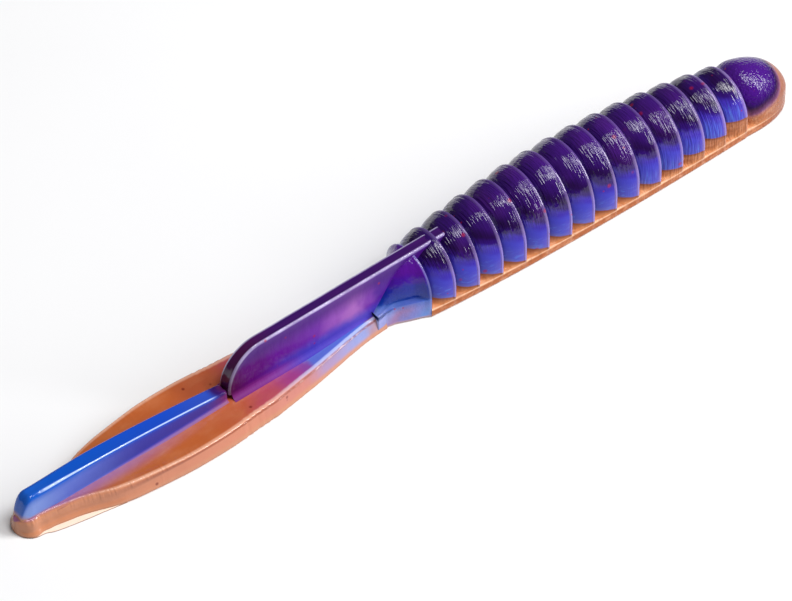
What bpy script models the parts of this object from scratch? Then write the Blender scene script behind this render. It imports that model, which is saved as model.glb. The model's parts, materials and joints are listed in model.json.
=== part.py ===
"""Soft plastic ring worm: a ribbed, flat-bellied body with a finned, leaf-shaped tail.

Frame: metres, +X towards the head, +Z up, belly flat on z = 0, middle plane y = 0.
The origin is under the middle of the overall length. The head lies bent a little to -Y.
The soft body bends everywhere. It is cut here at its grooves and at even steps along the tail,
and each cut is a hinge: the cuts turn in turn sideways (about Z) and upwards (about Y).
"""

from math import cos, pi, sin, sqrt

import bmesh
import bpy

MM = 0.001

# Body: sawtooth rings, each a cone that rises towards the head and ends in a lip.
RING_COUNT = 14
RING_PITCH = 3.05 * MM
COLLAR_LIP_X = 1.1 * MM
BODY_HALF_WIDTH = 4.8 * MM
BODY_HEIGHT = 9.2 * MM
WIDEST_RING = 6.8
SPINDLE_DROP = 0.216
GROOVE_DEPTH = 1.0 * MM
SIDE_GROOVE_DEPTH = 0.85 * MM
# A ring swells quickly out of its groove: share of its length, share of the depth still left.
RING_SWELL = [(0.0, 1.0), (0.3, 0.42), (0.62, 0.12)]
WALL_SHARE = 0.36
WALL_ABOVE_SEAM = 0.1 * MM
LIP_ROUND = 0.2 * MM
ARC_STEPS = 12
STRIP_Z = 1.1 * MM
STRIP_EDGE = 0.25 * MM

# Sideways bend of the head end.
BEND_START_X = 15.0 * MM
BEND_AT_NOSE = 1.6 * MM

# The two colours are poured one on the other; they meet on this level.
SEAM_Z = 2.6 * MM
SEAM_GAP = 0.2 * MM

# Flex cuts.
CUT_GAP = 0.8 * MM
FIN_CUT_GAP = 0.4 * MM
BODY_HINGE_Z = 4.2 * MM
TAIL_HINGE_Z = 1.2 * MM
FIRST_FREE_RING = 3

# Collar between the rings and the tail.
COLLAR_START_X = -4.8 * MM
COLLAR_LOW_HEIGHT = 3.3 * MM
# Half width of the collar before its lip.
COLLAR_WAIST = [(-4.8 * MM, 2.1 * MM), (-3.2 * MM, 2.05 * MM), (-1.0 * MM, 2.85 * MM)]

# Head dome.
NOSE_X = 51.0 * MM
HEAD_SHRINK = 0.96
HEAD_BLUNT = 2.5
HEAD_SLOPE = 2.0
HEAD_STEPS = 7
# The dome is closed by a small flat face here, as a share of its length.
HEAD_CLOSE = 0.997
CHIN_ROUND = 0.5 * MM
CHIN_SHARE = 0.45

# Tail blade.
TAIL_TIP_X = -51.0 * MM
BLADE_THICKNESS = 2.1 * MM
BLADE_EDGE_ROUND = 0.45 * MM
TAIL_CUTS = [x * MM for x in (-5.2, -11.2, -17.2, -23.6, -29.4, -35.2, -41.0, -46.2)]
TAIL_UP_CUTS = (3, 5, 7)
# Half width of the leaf outline at a few places, from the neck to the tip.
LEAF = [
    (-4.8 * MM, 2.15 * MM),
    (-9.0 * MM, 2.75 * MM),
    (-13.0 * MM, 3.5 * MM),
    (-18.5 * MM, 4.4 * MM),
    (-25.0 * MM, 4.95 * MM),
    (-31.0 * MM, 5.0 * MM),
    (-37.0 * MM, 4.5 * MM),
    (-43.0 * MM, 3.5 * MM),
    (-48.0 * MM, 2.55 * MM),
]
TIP_HALF_WIDTH = 2.15 * MM
TIP_LENGTH = 1.9 * MM
TIP_STEPS = 5
BLADE_STEP = 1.5 * MM

# Fin: a tall flat-topped keel from the second ring to the middle of the blade.
FIN_TOP_Z = 7.6 * MM
FIN_HALF_WIDTH = 0.75 * MM
FIN_FRONT_X = 5.3 * MM
FIN_SLOT_Z = 4.6 * MM
FIN_SLOT_CLEARANCE = 0.15 * MM
FIN_END_TOP_X = -20.4 * MM
FIN_END_STEPS = 5
FIN_END_RISE = 0.5 * MM
FIN_EDGE_ROUND = 0.2 * MM
CUTTER_OVERRUN = 1.0 * MM

# Rib: a round-backed ridge that grows towards the tip.
RIB_LOW_Z = 2.95 * MM
RIB_HIGH_Z = 4.9 * MM
RIB_LOW_HALF_WIDTH = 0.85 * MM
RIB_HIGH_HALF_WIDTH = 1.15 * MM
RIB_GROWTH_LENGTH = 22.0 * MM
RIB_SHOULDER_SHARE = 0.35
RIB_FOOT_FLARE = 1.1
# Rounding of the rib's last end: (distance from the end, share of its size).
RIB_TIP_INSET = 0.35 * MM
RIB_END_ROUND = [(0.7 * MM, 1.0), (0.2 * MM, 0.9), (0.0, 0.72)]
RIB_ARC_STEPS = 6
RIB_STEP = 1.9 * MM

PURPLE = (0.09, 0.02, 0.28)
MAGENTA = (0.20, 0.03, 0.36)
BLUE = (0.01, 0.09, 0.50)
ORANGE = (0.55, 0.17, 0.05)
EDGE_ANGLE = pi / 3.5


def clear_scene():
    for obj in list(bpy.data.objects):
        bpy.data.objects.remove(obj, do_unlink=True)


def new_collection(name):
    collection = bpy.data.collections.new(name)
    bpy.context.scene.collection.children.link(collection)
    return collection


def plastic(name, colour):
    material = bpy.data.materials.new(name)
    material.use_nodes = True
    shader = material.node_tree.nodes["Principled BSDF"]
    shader.inputs["Base Color"].default_value = (*colour, 1.0)
    shader.inputs["Roughness"].default_value = 0.15
    shader.inputs["Metallic"].default_value = 0.0
    material.diffuse_color = (*colour, 1.0)
    return material


class Worm:
    """Holds the collections and the pivot that each new piece hangs on."""

    def __init__(self):
        self.parts = new_collection("ring_worm")
        self.cutters = new_collection("ring_worm_cutters")
        self.pivots = {}

    def add_pivot(self, name, place, parent=None):
        """An empty on a joint's axis; place is given in the unbent worm."""
        place = bent(place)
        pivot = bpy.data.objects.new("pivot_" + name, None)
        pivot.empty_display_size = 2 * MM
        self.parts.objects.link(pivot)
        origin = (0.0, 0.0, 0.0)
        if parent is not None:
            pivot.parent = self.pivots[parent][0]
            origin = self.pivots[parent][1]
        pivot.location = [a - b for a, b in zip(place, origin)]
        self.pivots[name] = (pivot, place)

    def add_piece(self, name, body, bm, colour):
        """Turns a bmesh of the unbent worm into a named piece on its body's pivot."""
        pivot, place = self.pivots[body]
        for vertex in bm.verts:
            vertex.co = bent(vertex.co)
        bmesh.ops.translate(bm, verts=bm.verts, vec=[-a for a in place])
        piece = mesh_object(name, bm)
        piece.data.materials.append(plastic(name + "_plastic", colour))
        piece.parent = pivot
        self.parts.objects.link(piece)
        return piece

    def add_cutter(self, name, bm):
        cutter = mesh_object(name, bm)
        cutter.hide_render = True
        cutter.display_type = "WIRE"
        self.cutters.objects.link(cutter)
        return cutter


def bent(place):
    """Moves a point of the straight worm sideways to where the bent head end has it."""
    t = max(0.0, (place[0] - BEND_START_X) / (NOSE_X - BEND_START_X))
    return (place[0], place[1] - BEND_AT_NOSE * t * t, place[2])


def mesh_object(name, bm):
    bmesh.ops.recalc_face_normals(bm, faces=bm.faces)
    mesh = bpy.data.meshes.new(name)
    bm.to_mesh(mesh)
    bm.free()
    return bpy.data.objects.new(name, mesh)


def loft(stations):
    """A closed solid through sections; each station is (x, [(y, z), ...])."""
    bm = bmesh.new()
    rings = [[bm.verts.new((x, y, z)) for y, z in section] for x, section in stations]
    for near, far in zip(rings, rings[1:]):
        count = len(near)
        for i in range(count):
            j = (i + 1) % count
            bm.faces.new((near[i], near[j], far[j], far[i]))
    bm.faces.new(rings[0])
    bm.faces.new(rings[-1])
    return bm


def prism(outline, low, high, to_world):
    """A flat outline pushed from low to high; to_world maps (a, b, depth) to a point."""
    bm = bmesh.new()
    face = bm.faces.new([bm.verts.new(to_world(a, b, low)) for a, b in outline])
    grown = bmesh.ops.extrude_face_region(bm, geom=[face])
    moved = [v for v in grown["geom"] if isinstance(v, bmesh.types.BMVert)]
    start = to_world(0.0, 0.0, low)
    end = to_world(0.0, 0.0, high)
    bmesh.ops.translate(bm, verts=moved, vec=[b - a for a, b in zip(start, end)])
    return bm


def round_edges(piece, width, segments=2):
    bevel = piece.modifiers.new("edge_round", "BEVEL")
    bevel.width = width
    bevel.segments = segments
    bevel.limit_method = "ANGLE"
    bevel.angle_limit = EDGE_ANGLE
    bevel.use_clamp_overlap = True


def cut_with(piece, cutter):
    cut = piece.modifiers.new("slot", "BOOLEAN")
    cut.operation = "DIFFERENCE"
    cut.solver = "EXACT"
    cut.object = cutter


def spread(start, end, step):
    """Evenly spaced values from start to end, at most step apart."""
    count = max(1, round(abs(end - start) / step))
    return [start + (end - start) * i / count for i in range(count + 1)]


def lip_x(ring):
    """Where a ring's lip stands; ring 0 is the collar's lip."""
    return COLLAR_LIP_X + ring * RING_PITCH


def girth(x):
    """Share of the full girth at x: the body is a spindle, widest near ring 7."""
    t = (x - lip_x(WIDEST_RING)) / (RING_PITCH * WIDEST_RING)
    return 1.0 - SPINDLE_DROP * t * t


def back_section(half_width, height, base_z):
    """The upper colour: upright walls under a half ellipse, cut off flat at base_z."""
    wall_z = max(WALL_SHARE * height, base_z + WALL_ABOVE_SEAM)
    section = [(-half_width, base_z)]
    for i in range(ARC_STEPS + 1):
        angle = pi - pi * i / ARC_STEPS
        section.append((half_width * cos(angle), wall_z + (height - wall_z) * sin(angle)))
    section.append((half_width, base_z))
    return section


def belly_section(strip_half_width, top_half_width, top_z, chin=0.0):
    """The lower colour: a flat strip with a ledge that leans in to meet the rings."""
    near = [
        (-strip_half_width + chin, 0.0),
        (-strip_half_width, chin + STRIP_EDGE),
        (-strip_half_width, STRIP_Z),
        (-top_half_width, STRIP_Z + STRIP_EDGE),
        (-top_half_width, top_z),
    ]
    return near + [(-y, z) for y, z in reversed(near)]


def add_ring(worm, ring, body):
    groove_x = lip_x(ring - 1) + CUT_GAP
    end_x = lip_x(ring)
    crest_x = end_x - LIP_ROUND
    base_z = SEAM_Z + SEAM_GAP / 2
    top_z = SEAM_Z - SEAM_GAP / 2
    back = []
    belly = []
    swell = RING_SWELL + [(1.0, 0.0)]
    for share, left in swell:
        x = groove_x + (crest_x - groove_x) * share
        strip_width = BODY_HALF_WIDTH * girth(x)
        width = strip_width - SIDE_GROOVE_DEPTH * left
        back.append((x, back_section(width, BODY_HEIGHT * girth(x) - GROOVE_DEPTH * left, base_z)))
        belly.append((x, belly_section(strip_width, width, top_z)))
    lip_width = BODY_HALF_WIDTH * girth(end_x)
    inner_width = lip_width - LIP_ROUND / 2
    inner_height = BODY_HEIGHT * girth(end_x) - LIP_ROUND / 2
    back.append((end_x, back_section(inner_width, inner_height, base_z)))
    belly.append((end_x, belly_section(lip_width, inner_width, top_z)))
    name = f"ring_{ring:02d}"
    worm.add_piece(name + "_belly", body, loft(belly), ORANGE)
    return worm.add_piece(name + "_back", body, loft(back), PURPLE)


def add_head(worm, body):
    start_x = lip_x(RING_COUNT) + CUT_GAP
    length = NOSE_X - start_x
    full_width = BODY_HALF_WIDTH * girth(start_x) * HEAD_SHRINK
    full_height = BODY_HEIGHT * girth(start_x) * HEAD_SHRINK
    base_z = SEAM_Z + SEAM_GAP / 2
    top_z = SEAM_Z - SEAM_GAP / 2
    back = []
    belly = []
    for i in range(HEAD_STEPS + 1):
        t = sin(0.5 * pi * i / HEAD_STEPS) if i < HEAD_STEPS else HEAD_CLOSE
        x = start_x + length * (t / HEAD_CLOSE)
        width = full_width * (1.0 - t**HEAD_BLUNT) ** (1.0 / HEAD_BLUNT)
        height = base_z + (full_height - base_z) * (1.0 - t**HEAD_SLOPE) ** (1.0 / HEAD_SLOPE)
        back.append((x, back_section(width, height, base_z)))
        chin = min(CHIN_ROUND, CHIN_SHARE * width)
        belly.append((x, belly_section(width, width, top_z, chin)))
    worm.add_piece("head_back", body, loft(back), PURPLE)
    worm.add_piece("head_belly", body, loft(belly), ORANGE)


def add_collar(worm, body):
    base_z = SEAM_Z + SEAM_GAP / 2
    top_z = SEAM_Z - SEAM_GAP / 2
    lip_width = BODY_HALF_WIDTH * girth(COLLAR_LIP_X)
    lip_height = BODY_HEIGHT * girth(COLLAR_LIP_X)
    back = []
    belly = []
    for x, width in COLLAR_WAIST + [(COLLAR_LIP_X, lip_width)]:
        t = (x - COLLAR_START_X) / (COLLAR_LIP_X - COLLAR_START_X)
        height = COLLAR_LOW_HEIGHT + (lip_height - COLLAR_LOW_HEIGHT) * sin(0.5 * pi * t)
        back.append((x, back_section(width, height, base_z)))
        belly.append((x, belly_section(width, width, top_z)))
    worm.add_piece("collar_belly", body, loft(belly), ORANGE)
    return worm.add_piece("collar_back", body, loft(back), PURPLE)


def leaf_half_width(x):
    """Smooth leaf outline through the LEAF places, closed by a round tip."""
    if x <= TAIL_TIP_X + TIP_LENGTH:
        t = min(1.0, (TAIL_TIP_X + TIP_LENGTH - x) / TIP_LENGTH)
        return TIP_HALF_WIDTH * sqrt(max(0.0, 1.0 - t * t))
    places = LEAF + [(TAIL_TIP_X + TIP_LENGTH, TIP_HALF_WIDTH)]
    for i in range(len(places) - 1):
        (x1, w1), (x2, w2) = places[i], places[i + 1]
        if x1 >= x >= x2:
            x0, w0 = places[max(0, i - 1)]
            x3, w3 = places[min(len(places) - 1, i + 2)]
            slope1 = (w2 - w0) / (x2 - x0)
            slope2 = (w3 - w1) / (x3 - x1)
            t = (x - x1) / (x2 - x1)
            span = x2 - x1
            return (
                w1 * (1 + 2 * t) * (1 - t) ** 2
                + slope1 * span * t * (1 - t) ** 2
                + w2 * t * t * (3 - 2 * t)
                + slope2 * span * t * t * (t - 1)
            )
    return LEAF[0][1]


def tail_span(index):
    """The stretch of tail between cut number index and the next, without its gaps."""
    head_side = TAIL_CUTS[index] - CUT_GAP / 2
    if index + 1 < len(TAIL_CUTS):
        return head_side, TAIL_CUTS[index + 1] + CUT_GAP / 2
    return head_side, TAIL_TIP_X


def add_blade(worm, index, body):
    head_side, tip_side = tail_span(index)
    stations = spread(head_side, tip_side, BLADE_STEP)
    if tip_side == TAIL_TIP_X:
        stations = spread(head_side, TAIL_TIP_X + TIP_LENGTH, BLADE_STEP)
        stations += [
            TAIL_TIP_X + TIP_LENGTH * (1 - sin(0.5 * pi * i / TIP_STEPS))
            for i in range(1, TIP_STEPS)
        ]
    near_side = [(x, -leaf_half_width(x)) for x in stations]
    far_side = [(x, leaf_half_width(x)) for x in reversed(stations)]
    outline = near_side + ([(TAIL_TIP_X, 0.0)] if tip_side == TAIL_TIP_X else []) + far_side
    bm = prism(outline, 0.0, BLADE_THICKNESS, lambda a, b, depth: (a, b, depth))
    piece = worm.add_piece(f"tail_blade_{index + 1}", body, bm, ORANGE)
    round_edges(piece, BLADE_EDGE_ROUND)


def upright(a, b, depth):
    """Maps a side outline (x, z) pushed along Y."""
    return (a, depth, b)


def add_fin(worm, index, body):
    """One stretch of the fin on the blade; the last one falls away in a round end."""
    head_side = TAIL_CUTS[index] - FIN_CUT_GAP / 2
    tip_side = TAIL_CUTS[index + 1] + FIN_CUT_GAP / 2
    base_z = BLADE_THICKNESS + SEAM_GAP
    outline = [(head_side, base_z), (head_side, FIN_TOP_Z)]
    if tip_side < FIN_END_TOP_X:
        end_x = TAIL_CUTS[index + 1] + CUT_GAP / 2
        low_z = base_z + FIN_END_RISE
        for i in range(FIN_END_STEPS + 1):
            angle = 0.5 * pi * i / FIN_END_STEPS
            x = FIN_END_TOP_X + (end_x - FIN_END_TOP_X) * sin(angle)
            outline.append((x, low_z + (FIN_TOP_Z - low_z) * cos(angle)))
        outline.append((end_x, base_z))
    else:
        outline += [(tip_side, FIN_TOP_Z), (tip_side, base_z)]
    bm = prism(outline, -FIN_HALF_WIDTH, FIN_HALF_WIDTH, upright)
    piece = worm.add_piece(f"tail_fin_{index + 1}", body, bm, MAGENTA)
    round_edges(piece, FIN_EDGE_ROUND)


def fin_front_outline(clearance):
    """The part of the fin that is let into the collar and the first two rings."""
    back_x = TAIL_CUTS[0] + FIN_CUT_GAP / 2
    step_x = COLLAR_START_X - SEAM_GAP
    return [
        (back_x - clearance, BLADE_THICKNESS + SEAM_GAP),
        (back_x - clearance, FIN_TOP_Z + clearance),
        (FIN_FRONT_X + clearance, FIN_TOP_Z + clearance),
        (FIN_FRONT_X + clearance, FIN_SLOT_Z - clearance),
        (step_x + clearance, FIN_SLOT_Z - clearance),
        (step_x + clearance, BLADE_THICKNESS + SEAM_GAP),
    ]


def add_fin_front(worm, body, hosts):
    outline = fin_front_outline(0.0)
    bm = prism(outline, -FIN_HALF_WIDTH, FIN_HALF_WIDTH, upright)
    worm.add_piece("fin_front", body, bm, MAGENTA)
    reach = FIN_HALF_WIDTH + FIN_SLOT_CLEARANCE
    clear = FIN_SLOT_CLEARANCE
    slot = [
        (COLLAR_START_X - CUTTER_OVERRUN, FIN_SLOT_Z - clear),
        (COLLAR_START_X - CUTTER_OVERRUN, BODY_HEIGHT + CUTTER_OVERRUN),
        (FIN_FRONT_X + clear, BODY_HEIGHT + CUTTER_OVERRUN),
        (FIN_FRONT_X + clear, FIN_SLOT_Z - clear),
    ]
    cutter = worm.add_cutter("fin_slot_cutter", prism(slot, -reach, reach, upright))
    for host in hosts:
        cut_with(host, cutter)


def rib_size(x):
    """Top level and half width of the rib at x: it grows from the fin to the tip."""
    t = min(1.0, max(0.0, (TAIL_CUTS[3] - x) / RIB_GROWTH_LENGTH))
    grown = sin(0.5 * pi * t)
    top = RIB_LOW_Z + (RIB_HIGH_Z - RIB_LOW_Z) * grown
    half_width = RIB_LOW_HALF_WIDTH + (RIB_HIGH_HALF_WIDTH - RIB_LOW_HALF_WIDTH) * grown
    return top, half_width


def rib_section(x, shrink):
    top, half_width = rib_size(x)
    base_z = BLADE_THICKNESS + SEAM_GAP
    half_width *= shrink
    top = base_z + (top - base_z) * shrink
    shoulder = base_z + (top - base_z) * RIB_SHOULDER_SHARE
    section = [(-half_width * RIB_FOOT_FLARE, base_z)]
    for i in range(RIB_ARC_STEPS + 1):
        angle = pi - pi * i / RIB_ARC_STEPS
        section.append((half_width * cos(angle), shoulder + (top - shoulder) * sin(angle)))
    section.append((half_width * RIB_FOOT_FLARE, base_z))
    return section


def add_rib(worm, index, body):
    head_side, tip_side = tail_span(index)
    if tip_side == TAIL_TIP_X:
        end_x = TAIL_TIP_X + RIB_TIP_INSET
        whole = spread(head_side, end_x + RIB_END_ROUND[0][0], RIB_STEP)
        stations = [(x, 1.0) for x in whole[:-1]]
        stations += [(end_x + reach, shrink) for reach, shrink in RIB_END_ROUND]
    else:
        stations = [(x, 1.0) for x in spread(head_side, tip_side, RIB_STEP)]
    bm = loft([(x, rib_section(x, shrink)) for x, shrink in stations])
    worm.add_piece(f"tail_rib_{index + 1}", body, bm, BLUE)


def build():
    clear_scene()
    worm = Worm()
    worm.add_pivot("waist", (0.0, 0.0, 0.0))
    parent = "waist"
    bodies = [f"ring_{ring:02d}" for ring in range(FIRST_FREE_RING, RING_COUNT + 1)] + ["head"]
    for offset, body in enumerate(bodies):
        hinge_x = lip_x(FIRST_FREE_RING - 1 + offset) + CUT_GAP / 2
        worm.add_pivot(body, (hinge_x, 0.0, BODY_HINGE_Z), parent)
        parent = body
    parent = "waist"
    for index, cut_x in enumerate(TAIL_CUTS):
        worm.add_pivot(f"tail_{index + 1}", (cut_x, 0.0, TAIL_HINGE_Z), parent)
        parent = f"tail_{index + 1}"

    hosts = [add_collar(worm, "waist")]
    for ring in range(1, RING_COUNT + 1):
        body = "waist" if ring < FIRST_FREE_RING else f"ring_{ring:02d}"
        back = add_ring(worm, ring, body)
        if ring < FIRST_FREE_RING:
            hosts.append(back)
    add_head(worm, "head")
    add_fin_front(worm, "waist", hosts)
    for index in range(len(TAIL_CUTS)):
        body = f"tail_{index + 1}"
        add_blade(worm, index, body)
        if index < TAIL_UP_CUTS[0]:
            add_fin(worm, index, body)
        else:
            add_rib(worm, index, body)


build()
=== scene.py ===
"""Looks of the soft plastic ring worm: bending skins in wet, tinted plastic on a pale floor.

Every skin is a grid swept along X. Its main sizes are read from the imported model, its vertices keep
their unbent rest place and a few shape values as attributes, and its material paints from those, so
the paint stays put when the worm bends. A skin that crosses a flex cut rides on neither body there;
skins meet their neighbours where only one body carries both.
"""

import json
from math import ceil, cos, pi, radians, sin, sqrt

import bpy
import numpy as np
from mathutils import Matrix, Vector


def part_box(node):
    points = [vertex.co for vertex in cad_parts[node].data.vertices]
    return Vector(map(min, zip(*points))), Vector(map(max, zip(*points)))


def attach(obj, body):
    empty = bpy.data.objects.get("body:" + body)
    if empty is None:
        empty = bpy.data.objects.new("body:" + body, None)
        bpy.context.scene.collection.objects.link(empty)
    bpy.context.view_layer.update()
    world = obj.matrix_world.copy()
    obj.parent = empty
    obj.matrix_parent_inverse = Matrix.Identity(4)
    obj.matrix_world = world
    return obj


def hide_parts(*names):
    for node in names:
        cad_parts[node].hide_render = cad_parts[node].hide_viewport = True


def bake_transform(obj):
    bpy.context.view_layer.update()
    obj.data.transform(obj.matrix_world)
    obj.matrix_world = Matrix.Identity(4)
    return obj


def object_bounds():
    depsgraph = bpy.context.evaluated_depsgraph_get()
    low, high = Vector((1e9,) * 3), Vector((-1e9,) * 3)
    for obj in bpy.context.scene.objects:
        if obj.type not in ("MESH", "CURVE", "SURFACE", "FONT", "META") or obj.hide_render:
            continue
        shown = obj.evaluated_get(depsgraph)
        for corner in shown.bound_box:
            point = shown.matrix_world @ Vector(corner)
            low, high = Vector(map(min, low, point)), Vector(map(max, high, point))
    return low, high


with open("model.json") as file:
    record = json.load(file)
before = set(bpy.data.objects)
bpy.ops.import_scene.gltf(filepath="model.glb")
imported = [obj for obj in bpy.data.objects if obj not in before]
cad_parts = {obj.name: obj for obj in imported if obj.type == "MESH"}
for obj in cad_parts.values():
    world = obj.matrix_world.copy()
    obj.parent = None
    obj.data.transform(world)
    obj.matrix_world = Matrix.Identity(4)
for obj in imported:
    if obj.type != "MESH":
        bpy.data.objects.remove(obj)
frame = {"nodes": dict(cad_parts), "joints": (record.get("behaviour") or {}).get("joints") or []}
cad_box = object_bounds()

MM = 0.001
RING_COUNT = 14
FIRST_FREE_RING = 3

# Body section.
SEAM_Z = 2.6 * MM
STRIP_Z = 1.1 * MM
SHELF_RISE = 0.2 * MM
SHELF_EASE = 0.04 * MM
WALL_SHARE = 0.36
WALL_ABOVE_SEAM = 0.15 * MM
WALL_EDGE = 0.04 * MM
CORNER = 0.25 * MM
CORNER_STEPS = 4
BELLY_SHARES = (0.0, 0.35, 0.7, 1.0)
GROOVE_DEPTH = 1.05 * MM
SIDE_GROOVE_SHARE = 0.85
SWELL_POWER = 2.5

# Sideways bend of the head end.
BEND_START_X = 15.0 * MM
BEND_AT_NOSE = 1.6 * MM

# Tail: the rib's low tab under its CAD top, and the steps in which the blade's rim is read.
RIB_TAB_DROP = 0.45 * MM
RIM_STEP = 0.7 * MM


# ---------------------------------------------------------------- sizes read from the frame

def ring_name(ring):
    return f"ring_{ring:02d}"


def body_of(ring):
    return "waist" if ring < FIRST_FREE_RING else ring_name(ring)


def lip_place(ring):
    """(x, half width, height) of a ring's lip."""
    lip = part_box(ring_name(ring) + "_back")[1]
    belly_low, belly_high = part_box(ring_name(ring) + "_belly")
    return lip.x, (belly_high.y - belly_low.y) / 2, lip.z


LIPS = [lip_place(ring) for ring in range(FIRST_FREE_RING, RING_COUNT + 1)]
WIDTH_FIT = np.polyfit([lip[0] for lip in LIPS], [lip[1] for lip in LIPS], 2)
HEIGHT_FIT = np.polyfit([lip[0] for lip in LIPS], [lip[2] for lip in LIPS], 2)
LIP_X = [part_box("collar_back")[1].x]
LIP_X += [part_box(ring_name(ring) + "_back")[1].x for ring in range(1, RING_COUNT + 1)]
COLLAR_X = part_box("collar_back")[0].x
TAIL_TIP_X = cad_box[0][0]
NOSE_X = cad_box[1][0]
BLADE_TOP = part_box("tail_blade_4")[1].z
FIN_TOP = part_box("tail_fin_1")[1].z
FIN_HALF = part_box("tail_fin_1")[1].y
FIN_FRONT_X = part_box("fin_front")[1].x
FIN_END_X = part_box("tail_fin_3")[0].x
RIB_END_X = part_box("tail_rib_8")[0].x
RIB_LOW_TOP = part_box("tail_rib_4")[1].z - RIB_TAB_DROP
RIB_HIGH_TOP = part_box("tail_rib_8")[1].z
TAIL_COUNT = 8
JOINT_X = {joint["child"]: joint["pos_m"][0] for joint in frame["joints"]}
TAIL_CUTS = [JOINT_X[f"tail_{i}"] for i in range(1, TAIL_COUNT + 1)]


def smooth(low, high, value):
    """0 at low, 1 at high, smooth between; low may be above high."""
    t = np.clip((value - low) / (high - low), 0.0, 1.0)
    return t * t * (3.0 - 2.0 * t)


def full_width(x):
    return np.polyval(WIDTH_FIT, x)


def full_height(x):
    return np.polyval(HEIGHT_FIT, x)


def blade_outline():
    """The tail blade's outline, (x, half width), read from the rims of its CAD pieces."""
    rim = {}
    for index in range(1, TAIL_COUNT + 1):
        for vertex in frame["nodes"][f"tail_blade_{index}"].data.vertices:
            key = round(vertex.co.x / RIM_STEP)
            if vertex.co.y > rim.get(key, (0.0, 0.0))[1]:
                rim[key] = (vertex.co.x, vertex.co.y)
    return np.array(sorted(rim.values())).T


OUTLINE_X, OUTLINE_Y = blade_outline()
OUTLINE_SPAN = [d * MM for d in (-1.6, -0.8, 0.0, 0.8, 1.6)]
TIP_ROUND = 1.9 * MM
TIP_EASE = 1.5 * MM
TIP_WIDTH = 2.1 * MM
FILM_HIGH_X = -39.5 * MM
FILM_LOW_X = -50.0 * MM
FILM_WIDTH = 0.7 * MM


def leaf_width(x):
    """Half width of the leaf: the CAD outline smoothed, with a round tip."""
    if x < TAIL_TIP_X + TIP_ROUND:
        t = min(1.0, (TAIL_TIP_X + TIP_ROUND - x) / TIP_ROUND)
        return TIP_WIDTH * sqrt(max(0.0, 1.0 - t * t))
    fit = [np.interp(x + d, OUTLINE_X, OUTLINE_Y) for d in OUTLINE_SPAN]
    near_tip = smooth(TAIL_TIP_X + TIP_ROUND + TIP_EASE, TAIL_TIP_X + TIP_ROUND, x)
    return float(np.mean(fit) * (1 - near_tip) + TIP_WIDTH * near_tip)


def film_width(x):
    """How far the moulding flash reaches out of the blade near its tip."""
    t = (FILM_HIGH_X - x) / (FILM_HIGH_X - FILM_LOW_X)
    return FILM_WIDTH * smooth(0.0, 0.5, t) * smooth(1.0, 0.7, t)


def bend_y(x):
    """The head end's sideways bend."""
    t = np.maximum(0.0, (x - BEND_START_X) / (NOSE_X - BEND_START_X))
    return -BEND_AT_NOSE * t * t


# ---------------------------------------------------------------- meshes

def grid_object(name, points, shades=None, cap_start=False, cap_end=False):
    """A quad grid: points is (rows, columns, 3); shades maps attribute names to (rows, columns)."""
    rows, columns = points.shape[:2]
    index = np.arange(rows * columns).reshape(rows, columns)
    quads = np.stack(
        [index[:-1, :-1], index[:-1, 1:], index[1:, 1:], index[1:, :-1]], axis=-1
    ).reshape(-1, 4)
    faces = quads.tolist()
    if cap_start:
        faces.append(index[0, ::-1].tolist())
    if cap_end:
        faces.append(index[-1].tolist())
    if points[-1, 0, 0] > points[0, 0, 0]:
        faces = [face[::-1] for face in faces]
    flat = points.reshape(-1, 3)
    bent = flat.copy()
    bent[:, 1] += bend_y(flat[:, 0])
    mesh = bpy.data.meshes.new(name)
    mesh.from_pydata(bent.tolist(), [], faces)
    mesh.validate()
    rest = mesh.attributes.new("rest", "FLOAT_VECTOR", "POINT")
    rest.data.foreach_set("vector", (flat / MM).astype(np.float32).ravel())
    for key, values in (shades or {}).items():
        attribute = mesh.attributes.new(key, "FLOAT", "POINT")
        attribute.data.foreach_set("value", np.asarray(values, np.float32).ravel())
    mesh.shade_smooth()
    piece = bpy.data.objects.new(name, mesh)
    bpy.context.scene.collection.objects.link(piece)
    return piece


def dress(piece, material, slot, *nodes):
    piece.data.materials.append(material)
    if nodes:
        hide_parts(*nodes)
    return piece


# These bodies are named from the outer body inwards; carry handles a piece that reaches one of them
# like any other piece over a cut.
TURNED_BLENDS = ("ring_06", "ring_12", "tail_7")


def carry(piece, before, after):
    """Rides on one body when before and after are the same; a piece over the cut between two rides on
    neither.
    """
    if before == after:
        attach(piece, after)
    elif after in TURNED_BLENDS:
        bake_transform(piece)
    else:
        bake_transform(piece)


# ---------------------------------------------------------------- body sections

# Heights of the wall's points, dense at the shelf over the belly strip.
WALL_LEVELS = [z * MM for z in (0.6, 0.9, 1.05, 1.12, 1.2, 1.3, 1.6, 2.1)] + [SEAM_Z]
SEAM_INDEX = len(BELLY_SHARES) + CORNER_STEPS + len(WALL_LEVELS) - 1
ARC_STEPS = 26


def half_section(w, h, ledge=0.0, ledge_z=None):
    """Near half of a section from the belly's middle to the top's middle, as (y, z) rows.

    A flat belly, a small round corner, an upright wall, a ledge if asked for, and an arc.
    """
    points = [(-(w - CORNER) * t, 0.0) for t in BELLY_SHARES]
    for i in range(1, CORNER_STEPS + 1):
        angle = 0.5 * pi * i / CORNER_STEPS
        points.append((-(w - CORNER) - CORNER * sin(angle), CORNER - CORNER * cos(angle)))
    points += [(-w, z) for z in WALL_LEVELS]
    wall_z = max(WALL_SHARE * h, SEAM_Z + WALL_ABOVE_SEAM) if ledge_z is None else ledge_z
    points.append((-w, wall_z - WALL_EDGE))
    inner = w - ledge
    for i in range(ARC_STEPS + 1):
        angle = 0.5 * pi * i / ARC_STEPS
        points.append((-inner * cos(angle), wall_z + (h - wall_z) * sin(angle)))
    return points


def full_section(half):
    """Both halves as one line from the belly's middle over the top and back."""
    return np.array(half + [(-y, z) for y, z in reversed(half[:-1])])


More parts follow.
